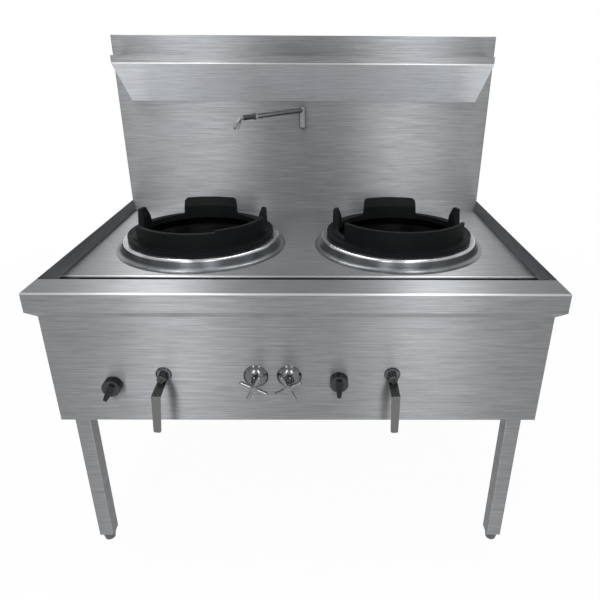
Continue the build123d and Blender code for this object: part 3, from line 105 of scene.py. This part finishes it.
def add_floor():
    """Pale round floor that keeps the shadow and fades into the white behind it."""
    mesh = bpy.data.meshes.new("floor")
    shape = bmesh.new()
    bmesh.ops.create_circle(shape, cap_ends=True, segments=FLOOR_SEGMENTS, radius=FLOOR_RADIUS)
    shape.to_mesh(mesh)
    shape.free()
    floor = bpy.data.objects.new("floor", mesh)
    bpy.context.scene.collection.objects.link(floor)
    look = Look("floor_paint", FLOOR_COLOR, roughness=FLOOR_ROUGHNESS)
    rays = look.tree.nodes.new("ShaderNodeLightPath").outputs
    in_metal = look.math("MAXIMUM", rays["Is Glossy Ray"], rays["Is Transmission Ray"])
    share = look.math("MAXIMUM", look.math("MULTIPLY", rays["Is Camera Ray"], FLOOR_LIFT),
                      look.math("MULTIPLY", in_metal, FLOOR_IN_METAL))
    white = look.add("Emission", {"Color": WHITE})
    lifted = look.add("MixShader", {0: share, 1: look.shader.outputs[0], 2: white})
    distance = look.add("VectorMath", {0: look.place()}, out="Value", operation="LENGTH")
    faded = look.add("MixShader", {0: look.span(distance, *FLOOR_FADE, smooth=True),
                                   1: lifted, 2: look.add("BsdfTransparent")})
    look.join(faded, look.tree.nodes["Material Output"].inputs["Surface"])
    floor.data.materials.append(look.material)


# ------------------------------------------------------------------ material kit
class Kit:
    """Short calls to build a node tree."""

    def __init__(self, tree):
        self.tree = tree

    def join(self, value, target):
        """Links a socket, or writes a constant on the target socket itself."""
        if isinstance(value, bpy.types.NodeSocket):
            self.tree.links.new(value, target)
        else:
            target.default_value = value

    def add(self, kind, inputs=(), out=0, **settings):
        """New node: settings are its properties, inputs maps sockets to values or other sockets."""
        node = self.tree.nodes.new("ShaderNode" + kind)
        for key, value in settings.items():
            setattr(node, key, value)
        for key, value in dict(inputs).items():
            self.join(value, node.inputs[key])
        return node.outputs[out]

    def place(self):
        """Position on the object, in metres; at rest the same as in the world."""
        return self.add("TexCoord", out="Object")

    def part(self, vector, axis):
        return self.add("SeparateXYZ", {0: vector}, out=axis)

    def math(self, operation, first, second=0.0):
        return self.add("Math", {0: first, 1: second}, operation=operation)

    def stretch(self, vector, scale):
        return self.add("VectorMath", {0: vector, 1: scale}, operation="MULTIPLY")

    def noise(self, vector, scale=1.0, detail=3.0, roughness=0.55):
        inputs = {"Vector": vector, "Scale": scale, "Detail": detail, "Roughness": roughness}
        return self.add("TexNoise", inputs)

    def span(self, value, low, high, to_low=0.0, to_high=1.0, smooth=False):
        """Maps low..high onto to_low..to_high, clamped."""
        inputs = {"Value": value, "From Min": low, "From Max": high, "To Min": to_low, "To Max": to_high}
        return self.add("MapRange", inputs, interpolation_type="SMOOTHSTEP" if smooth else "LINEAR")

    def mix(self, factor, first, second):
        """Colour mix; colours are given as triples or sockets."""
        first, second = ((*c, 1.0) if isinstance(c, tuple) else c for c in (first, second))
        return self.add("Mix", {0: factor, 6: first, 7: second}, out=2, data_type="RGBA")

    def pick(self, factor, first, second):
        """Vector mix."""
        return self.add("Mix", {0: factor, 4: first, 5: second}, out=1, data_type="VECTOR")

    def scaled(self, color, factor):
        """Colour times a number."""
        grey = self.add("CombineColor", {0: factor, 1: factor, 2: factor})
        first = (*color, 1.0) if isinstance(color, tuple) else color
        return self.add("Mix", {0: 1.0, 6: first, 7: grey}, out=2, data_type="RGBA",
                        blend_type="MULTIPLY")


SOCKETS = {"specular": "Specular IOR Level"}
WEAR_BAND = (0.02, 0.25)      # how far a rounded normal leans from the flat one at a worn edge
WEAR_SAMPLES = 4
ROUND_SAMPLES = 6


class Look(Kit):
    """A principled material."""

    def __init__(self, name, color, metallic=0.0, roughness=0.5, **fixed):
        self.material = bpy.data.materials.new(name)
        self.material.use_nodes = True
        super().__init__(self.material.node_tree)
        self.shader = self.tree.nodes["Principled BSDF"]
        self.color = color
        self.put("Base Color", (*color, 1.0))
        self.put("Metallic", metallic)
        self.put("Roughness", roughness)
        for socket, value in fixed.items():
            self.put(SOCKETS.get(socket, socket.replace("_", " ").title()), value)

    def put(self, socket, value):
        self.join(value, self.shader.inputs[socket])

    def rounded(self, radius):
        """Normal that shades sharp edges as if rounded by radius."""
        return self.add("Bevel", {"Radius": radius}, samples=ROUND_SAMPLES)

    def bump(self, height, distance, strength, normal=None):
        inputs = {"Height": height, "Distance": distance, "Strength": strength}
        if normal is not None:
            inputs["Normal"] = normal
        self.put("Normal", self.add("Bump", inputs))

    def edge_wear(self, radius):
        """1 along sharp edges, 0 on flats."""
        soft = self.add("Bevel", {"Radius": radius}, samples=WEAR_SAMPLES)
        flat = self.add("NewGeometry", out="Normal")
        aligned = self.add("VectorMath", {0: soft, 1: flat}, out="Value", operation="DOT_PRODUCT")
        return self.span(self.math("SUBTRACT", 1.0, aligned), *WEAR_BAND)

    def round_burner(self):
        """Distance from the nearer burner's axis, and the direction round it."""
        place = self.place()
        right = self.math("GREATER_THAN", self.part(place, "X"), 0.0)
        axis_x = self.span(right, 0.0, 1.0, *BURNER_X)
        away_x = self.math("SUBTRACT", self.part(place, "X"), axis_x)
        away_y = self.math("SUBTRACT", self.part(place, "Y"), BURNER_Y)
        away = self.add("CombineXYZ", {0: away_x, 1: away_y})
        radius = self.add("VectorMath", {0: away}, out="Value", operation="LENGTH")
        turn = self.add("CombineXYZ", {0: self.math("MULTIPLY", away_y, -1.0), 1: away_x})
        return radius, self.add("VectorMath", {0: turn}, operation="NORMALIZE")


# ------------------------------------------------------------------ materials
STEEL = (0.275, 0.283, 0.292)
# painted shade: the gutter's steel is darkened to stand for the shade under the deck's nose
GUTTER_PAINTED_SHADE = (0.06, 0.062, 0.064)
STEEL_ROUGHNESS = 0.44
ANISOTROPY = 0.97
GRAIN_TURN = 0.25             # the highlight stretches across the grain
SIDEWAYS = 0.72               # a face whose normal has more X than this is brushed along Y
GRAIN = (9.0, 400.0)          # streaks per metre along and across the grain
SCRATCH = (30.0, 1000.0)
SCRATCH_DEPTH = 0.00006
CLOUD = (2.2, 2.2, 3.5)       # slow drifts of tone per metre
STREAK_TONE = (0.745, 1.255)  # darkest and brightest of the streaks, scratches and drifts
SCRATCH_TONE = (0.88, 1.12)
CLOUD_TONE = (0.95, 1.05)
WAVE = 0.0008                 # how far the grain wanders, metres
WAVE_SCALE = 5.0
SLOPE_BAND = (0.12, 0.45)     # Y times Z of the normal, between level or upright and sloped, where painted light on sloped faces comes in
SHELF_PAINTED_LIGHT = 2.3              # painted light: the shelf's sloped underside is brighter by this factor
# painted highlight colour along the folds
FOLD_HIGHLIGHT = (0.62, 0.64, 0.65)
FOLD_BAND = (0.003, 0.0042)   # reach of the painted highlight band round a fold's corner, metres


def brushed_steel(name, color=STEEL, folds=(), slope_painted_light=1.0):
    """Sheet brushed along X, or along Y on faces that look sideways; folds at (y, z) get a painted
    highlight and sloped faces can get painted light.
    """
    look = Look(name, color, metallic=1.0, anisotropic=ANISOTROPY, anisotropic_rotation=GRAIN_TURN)
    place = look.place()
    facing = look.add("NewGeometry", out="True Normal")
    facing = look.add("VectorMath", {0: facing}, operation="ABSOLUTE")
    sideways = look.math("GREATER_THAN", look.part(facing, "X"), SIDEWAYS)
    # painted highlight along each fold's corner
    fold_highlight = 0.0
    for y, z in folds:
        corner = look.add("CombineXYZ", {0: look.part(place, "X"), 1: y, 2: z})
        away = look.add("VectorMath", {0: place, 1: corner}, out="Value", operation="DISTANCE")
        near = look.span(away, *FOLD_BAND, 1.0, 0.0, smooth=True)
        fold_highlight = look.math("MAXIMUM", near, fold_highlight)
    wander = look.span(look.noise(place, WAVE_SCALE, detail=1.0), 0.0, 1.0, -WAVE, WAVE)
    place = look.add("VectorMath", {0: place, 1: wander}, operation="ADD")

    def grain(along, across):
        return look.pick(sideways, look.stretch(place, (along, across, across)),
                         look.stretch(place, (across, along, across)))

    coarse = look.noise(grain(*GRAIN), detail=4.0, roughness=0.62)
    fine = look.noise(grain(*SCRATCH), detail=2.0)
    cloud = look.noise(look.stretch(place, CLOUD), detail=2.0)
    tone = look.span(coarse, 0.25, 0.75, *STREAK_TONE)
    tone = look.math("MULTIPLY", tone, look.span(cloud, 0.3, 0.7, *CLOUD_TONE))
    tone = look.math("MULTIPLY", tone, look.span(fine, 0.25, 0.75, *SCRATCH_TONE))
    slope = look.math("MULTIPLY", look.part(facing, "Y"), look.part(facing, "Z"))
    # painted light: sloped faces are brightened by the slope factor
    tone = look.math("MULTIPLY", tone, look.span(slope, *SLOPE_BAND, 1.0, slope_painted_light, smooth=True))
    # the painted fold highlight is mixed into the colour here
    look.put("Base Color", look.mix(fold_highlight, look.scaled(color, tone), FOLD_HIGHLIGHT))
    dull = look.math("ADD", look.span(fine, 0.3, 0.7, -0.03, 0.03),
                     look.span(coarse, 0.3, 0.7, 0.025, -0.025))
    look.put("Roughness", look.math("ADD", STEEL_ROUGHNESS, dull))
    look.put("Tangent", look.pick(sideways, (1.0, 0.0, 0.0), (0.0, 1.0, 0.0)))
    look.bump(fine, SCRATCH_DEPTH, 0.4)
    return look.material


INNER_BLACK = (0.004, 0.004, 0.004)
COLLAR_STEEL = (0.17, 0.184, 0.193)
# painted highlight colour of the collar's top and foot
COLLAR_HIGHLIGHT = (0.62, 0.64, 0.65)
COLLAR_ROUGHNESS = (0.34, 0.46)
COLLAR_GLOSS = 0.16           # how much smoother the top and foot under the painted highlight are
TOP_BAND = (0.007, 0.003)     # painted highlight band below the collar's top, metres
FOOT_BAND = (0.008, 0.003)    # painted highlight band above the deck
# strength of the painted highlight on the foot
FOOT_HIGHLIGHT_SHARE = 0.3
SPUN_RINGS = 900.0            # per metre
INNER_BLACK_RADIUS = 0.1926          # the collar's turned-in edge, made near-black
INNER_BLACK_DROP = 0.0015            # below the collar's top


def polished_steel():
    """Spun collar: dull wall, painted highlights on the top and foot, fine rings round its axis and
    faint blotches.
    """
    look = Look("polished_steel", COLLAR_STEEL, metallic=1.0, anisotropic=0.6,
                anisotropic_rotation=GRAIN_TURN)
    place = look.place()
    radius, turn = look.round_burner()
    height = look.part(place, "Z")
    rings = look.add("CombineXYZ", {0: look.math("MULTIPLY", radius, SPUN_RINGS),
                                    1: look.math("MULTIPLY", height, SPUN_RINGS)})
    blotch = look.noise(place, 16.0, detail=3.0)
    top_low, top_high = (COLLAR_TOP - drop for drop in TOP_BAND)
    foot_high, foot_low = (DECK_TOP + rise for rise in FOOT_BAND)
    # painted highlight on the top and foot
    top_foot_highlight = look.math("MAXIMUM", look.span(height, top_low, top_high, smooth=True),
                       look.span(height, foot_high, foot_low, 0.0, FOOT_HIGHLIGHT_SHARE, smooth=True))
    tint = look.mix(top_foot_highlight, look.color, COLLAR_HIGHLIGHT)
    tint = look.scaled(tint, look.span(blotch, 0.3, 0.7, 0.8, 1.15))
    # near-black inside the bore, below the collar's top
    inner_black = look.math("MULTIPLY", look.math("LESS_THAN", radius, INNER_BLACK_RADIUS),
                      look.math("LESS_THAN", height, COLLAR_TOP - INNER_BLACK_DROP))
    look.put("Base Color", look.mix(inner_black, tint, INNER_BLACK))
    look.put("Roughness", look.math("SUBTRACT", look.span(blotch, 0.3, 0.7, *COLLAR_ROUGHNESS),
                                    look.math("MULTIPLY", top_foot_highlight, COLLAR_GLOSS)))
    look.put("Tangent", turn)
    look.bump(look.noise(rings, detail=2.0), 0.00005, 0.5)
    return look.material


IRON = (0.003, 0.0035, 0.004)
IRON_DARK = (0.0022, 0.0029, 0.0033)
IRON_LIGHT = (0.0044, 0.0055, 0.006)
IRON_EDGE = (0.016, 0.019, 0.021)
CAST_GRIT = 0.0005            # depth of the cast skin


def cast_iron():
    """Matt black casting with patches, a gritty skin and edges rubbed a little paler."""
    look = Look("cast_iron", IRON, roughness=0.6, specular=0.15)
    place = look.place()
    coarse = look.noise(place, 260.0, detail=5.0, roughness=0.6)
    patches = look.noise(place, 22.0, detail=3.0)
    worn = look.edge_wear(0.0025)
    color = look.mix(look.span(patches, 0.35, 0.7), IRON_DARK, IRON_LIGHT)
    look.put("Base Color", look.mix(look.math("MULTIPLY", worn, 0.5), color, IRON_EDGE))
    look.put("Roughness", look.span(patches, 0.3, 0.7, 0.5, 0.7))
    look.bump(coarse, CAST_GRIT, 0.5, normal=look.rounded(0.002))
    return look.material


CHROME = (0.23, 0.243, 0.25)
# painted shade: a darker copy of chrome for the lever cups
CUP_SHADED_CHROME = (0.13, 0.138, 0.143)
# painted shade: a darker copy of chrome for the escutcheons, standing for dark reflections
SHADED_CHROME = (0.15, 0.158, 0.164)


def chrome(name="chrome", color=CHROME, roughness=0.12):
    """Plated metal with smears."""
    look = Look(name, color, metallic=1.0, roughness=roughness)
    place = look.place()
    smears = look.noise(place, 90.0, detail=4.0)
    look.put("Roughness", look.span(smears, 0.35, 0.75, roughness * 0.6, roughness * 2.0))
    look.put("Base Color", look.scaled(color, look.span(smears, 0.3, 0.7, 0.9, 1.04)))
    look.bump(look.noise(place, 900.0, detail=2.0), 0.00002, 0.5)
    return look.material


LEVER_STEEL = (0.165, 0.167, 0.163)
LEVER_BLADE = 0.071           # back of the upright part of a lever, in front of the panel
LEVER_PAINTED_SHADE = 0.55            # painted shade: tone of a lever behind its bend
DRAG_MARKS = (2400.0, 2400.0, 90.0)


def satin_steel():
    """Tumbled stamped steel of the levers, with painted shade behind the bend."""
    look = Look("lever_steel", LEVER_STEEL, metallic=1.0)
    place = look.place()
    drag = look.noise(look.stretch(place, DRAG_MARKS), detail=3.0)
    worn = look.edge_wear(0.0015)
    behind = look.math("GREATER_THAN", look.part(place, "Y"), PANEL_Y - LEVER_BLADE)
    tone = look.math("ADD", look.span(drag, 0.3, 0.7, 0.9, 1.07), look.math("MULTIPLY", worn, 0.5))
    # painted shade: the part behind the bend is darkened
    tone = look.math("MULTIPLY", tone, look.span(behind, 0.0, 1.0, 1.0, LEVER_PAINTED_SHADE))
    look.put("Base Color", look.scaled(look.color, tone))
    look.put("Roughness", look.math("SUBTRACT", look.span(drag, 0.3, 0.7, 0.34, 0.44),
                                    look.math("MULTIPLY", behind, 0.14)))
    look.bump(drag, 0.00003, 0.3, normal=look.rounded(0.0012))
    return look.material


KNOB_BLACK = (0.003, 0.0033, 0.0036)
# rubbed edges, and the painted sheen on the knob's front face and its bar's edge
KNOB_WEAR_AND_SHEEN = (0.032, 0.035, 0.037)
KNOB_FACE = 0.024             # front of a knob's skirt, in front of the panel, where the painted sheen goes
FACE_DEPTH = 0.0012
FOOT_GREY = (0.075, 0.092, 0.092)
FOOT_EDGE = (0.16, 0.18, 0.18)
GRIP_BLACK = (0.03, 0.034, 0.036)
GRIP_EDGE = (0.09, 0.095, 0.1)


def moulded(name, color, roughness, wear_and_sheen_color, specular=0.5, face=None):
    """Moulded plastic or rubber with a fine texture and rubbed edges; face is the y of a face given a
    painted sheen in the edge colour.
    """
    look = Look(name, color, roughness=roughness, specular=specular)
    place = look.place()
    pores = look.noise(place, 1500.0, detail=3.0)
    smears = look.noise(place, 60.0, detail=3.0)
    worn = look.edge_wear(0.0012)
    tint = color
    if face is not None:
        near = look.math("ABSOLUTE", look.math("SUBTRACT", look.part(place, "Y"), face))
        # painted sheen: the front face takes the paler edge colour, as if lit
        tint = look.mix(look.math("LESS_THAN", near, FACE_DEPTH), color, wear_and_sheen_color)
    look.put("Base Color", look.mix(look.math("MULTIPLY", worn, 0.6), tint, wear_and_sheen_color))
    look.put("Roughness", look.span(smears, 0.3, 0.7, roughness - 0.08, roughness + 0.1))
    look.bump(pores, 0.00012, 0.35, normal=look.rounded(0.001))
    return look.material


REFRACTORY = (0.012, 0.0115, 0.011)
REFRACTORY_SOOT = (0.003, 0.003, 0.003)
REFRACTORY_GRIT = 0.0015


def refractory():
    """Rough cast lining, blackened by soot but for a few scrubbed patches."""
    look = Look("refractory", REFRACTORY, roughness=0.95, specular=0.05)
    place = look.place()
    grit = look.noise(place, 180.0, detail=6.0, roughness=0.7)
    soot = look.noise(place, 18.0, detail=3.0)
    bare = look.scaled(look.color, look.span(grit, 0.3, 0.7, 0.6, 1.3))
    look.put("Base Color", look.mix(look.span(soot, 0.35, 0.6), bare, REFRACTORY_SOOT))
    look.bump(grit, REFRACTORY_GRIT, 0.8)
    return look.material


CHAMBER_STEEL = (0.2, 0.19, 0.18)
STRAW = (0.22, 0.17, 0.11)    # temper colour of heated steel
CHAMBER_BORE = 0.1995         # just inside the chamber's outer face
CHAMBER_SKIN = 0.001          # the outer face of the chamber's floor keeps its colour
CHAMBER_NECK = 0.02           # above the deck the chamber is black all over


def heated_steel():
    """Sheet of the burner chambers, heat-tinted outside and near-black inside the collars."""
    look = Look("chamber_steel", CHAMBER_STEEL, metallic=1.0)
    place = look.place()
    height = look.part(place, "Z")
    tint = look.noise(place, 9.0, detail=3.0)
    straw = look.mix(look.span(tint, 0.35, 0.65), look.color, STRAW)
    radius, _ = look.round_burner()
    # near-black inside the collar's bore and all over above the neck
    inner_black = look.math("MULTIPLY", look.math("LESS_THAN", radius, CHAMBER_BORE),
                      look.math("GREATER_THAN", height, CHAMBER_FLOOR + CHAMBER_SKIN))
    neck = look.math("GREATER_THAN", height, DECK_TOP + CHAMBER_NECK)
    look.put("Base Color", look.mix(look.math("MAXIMUM", inner_black, neck), straw, INNER_BLACK))
    look.put("Roughness", look.span(look.noise(place, 60.0), 0.3, 0.7, 0.42, 0.62))
    look.bump(look.noise(place, 700.0), 0.0001, 0.5)
    return look.material


PIPE = ((0.42, 0.43, 0.43), (0.26, 0.26, 0.25))      # clean and tarnished
COPPER = ((0.66, 0.33, 0.2), (0.3, 0.15, 0.09))
BRASS = ((0.66, 0.5, 0.24), (0.42, 0.3, 0.14))
PLATING_GLOSS = 0.3           # roughness of the plated front as a share of the bare metal's


def piping(name, color, tarnish, roughness, bright_front=False):
    """Drawn or cast metal with patches of tarnish; what stands in front of the panel may be plated."""
    look = Look(name, color, metallic=1.0)
    place = look.place()
    patches = look.noise(place, 45.0, detail=4.0)
    tint = look.mix(look.span(patches, 0.4, 0.68), color, tarnish)
    dull = look.span(patches, 0.3, 0.7, roughness - 0.08, roughness + 0.18)
    if bright_front:
        inside = look.math("GREATER_THAN", look.part(place, "Y"), PANEL_Y)
        tint = look.mix(inside, CHROME, tint)
        dull = look.math("MULTIPLY", dull, look.span(inside, 0.0, 1.0, PLATING_GLOSS, 1.0))
    look.put("Base Color", tint)
    look.put("Roughness", dull)
    look.bump(look.noise(place, 900.0), 0.00006, 0.4)
    return look.material


# ------------------------------------------------------------------ places taken from the frame
rings = [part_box(f"wok_ring_{side}") for side in SIDES]
BURNER_X = [(low.x + high.x) / 2 for low, high in rings]
BURNER_Y = (rings[0][0].y + rings[0][1].y) / 2
PANEL_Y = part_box("front_panel")[0].y
deck_low, deck_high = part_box("deck_plate")
DECK_TOP = deck_high.z
COLLAR_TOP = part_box("burner_collar_left")[1].z
CHAMBER_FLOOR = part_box("burner_chamber_left")[0].z
SHELF_LIP = 0.023             # upright lip above the shelf's fold
rim_low, rim_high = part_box("rim_frame")
shelf_low, shelf_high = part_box("ladle_shelf")
RIM_FOLD = (rim_low.y, rim_high.z)
SHELF_FOLD = (shelf_low.y, shelf_high.z - SHELF_LIP)
DECK_FOLD = (deck_low.y, DECK_TOP)


# ------------------------------------------------------------------ dressing
def dress(material, *names):
    for name in names:
        node = NODES[name]
        node.data.materials.clear()
        node.data.materials.append(material)


def both(*stems):
    return [f"{stem}_{side}" for stem in stems for side in SIDES]


def dress_sheet_metal():
    dress(brushed_steel("brushed_steel", folds=(RIM_FOLD,)),
          "front_panel", "rear_panel", "left_panel", "right_panel", "rim_frame", "splash_panel",
          "splash_cover", "base_frame", *both("leg_front", "leg_rear"))
    # the shelf gets painted light on its sloped underside
    dress(brushed_steel("shelf_steel_painted_light", folds=(SHELF_FOLD,), slope_painted_light=SHELF_PAINTED_LIGHT), "ladle_shelf")
    dress(brushed_steel("deck_steel", folds=(DECK_FOLD,)), "deck_plate")
    # painted shade in the gutter and drain
    dress(brushed_steel("gutter_painted_shade", GUTTER_PAINTED_SHADE), "gutter_trough", "drain_outlet")


def dress_burners():
    dress(polished_steel(), *both("burner_collar"))
    dress(cast_iron(), *both("wok_ring", "jet_burner"))
    dress(refractory(), *both("refractory_lining"))
    dress(heated_steel(), *both("burner_chamber"))


def dress_controls():
    dress(chrome(), "spout_elbow", "spout_arm", "spout_nose", "spout_trigger", "cover_screws",
          *both("tap_handle", "valve_ball"))
    # the escutcheons take the darker chrome with painted shade
    dress(chrome("shaded_chrome", SHADED_CHROME, 0.17), "tap_escutcheons")
    # the lever cups take the chrome with painted shade
    dress(chrome("cup_shaded_chrome", CUP_SHADED_CHROME, 0.16), "lever_cups")
    dress(satin_steel(), *both("gas_lever"))
    dress(moulded("black_plastic", KNOB_BLACK, 0.34, KNOB_WEAR_AND_SHEEN, specular=0.3, face=PANEL_Y - KNOB_FACE),
          *both("pilot_knob"))
    dress(moulded("foot_plastic", FOOT_GREY, 0.5, FOOT_EDGE), *both("foot_front", "foot_rear"))
    dress(moulded("grip_rubber", GRIP_BLACK, 0.55, GRIP_EDGE), "spout_grip")


def dress_pipework():
    dress(piping("pipe_steel", *PIPE, 0.4), "gas_manifold", *both("burner_feed_pipe"))
    dress(piping("copper_tube", *COPPER, 0.28), "cold_water_pipe", "hot_water_pipe", "riser_pipe",
          *both("pilot_tube"))
    dress(piping("brass", *BRASS, 0.28, bright_front=True),
          *both("gas_valve_body", "pilot_cock", "tap_body"))


add_camera()
add_world()
for lamp in LAMPS:
    add_area_light(*lamp)
add_floor()
dress_sheet_metal()
dress_burners()
dress_controls()
dress_pipework()

view = bpy.context.scene.view_settings
view.view_transform = "Standard"
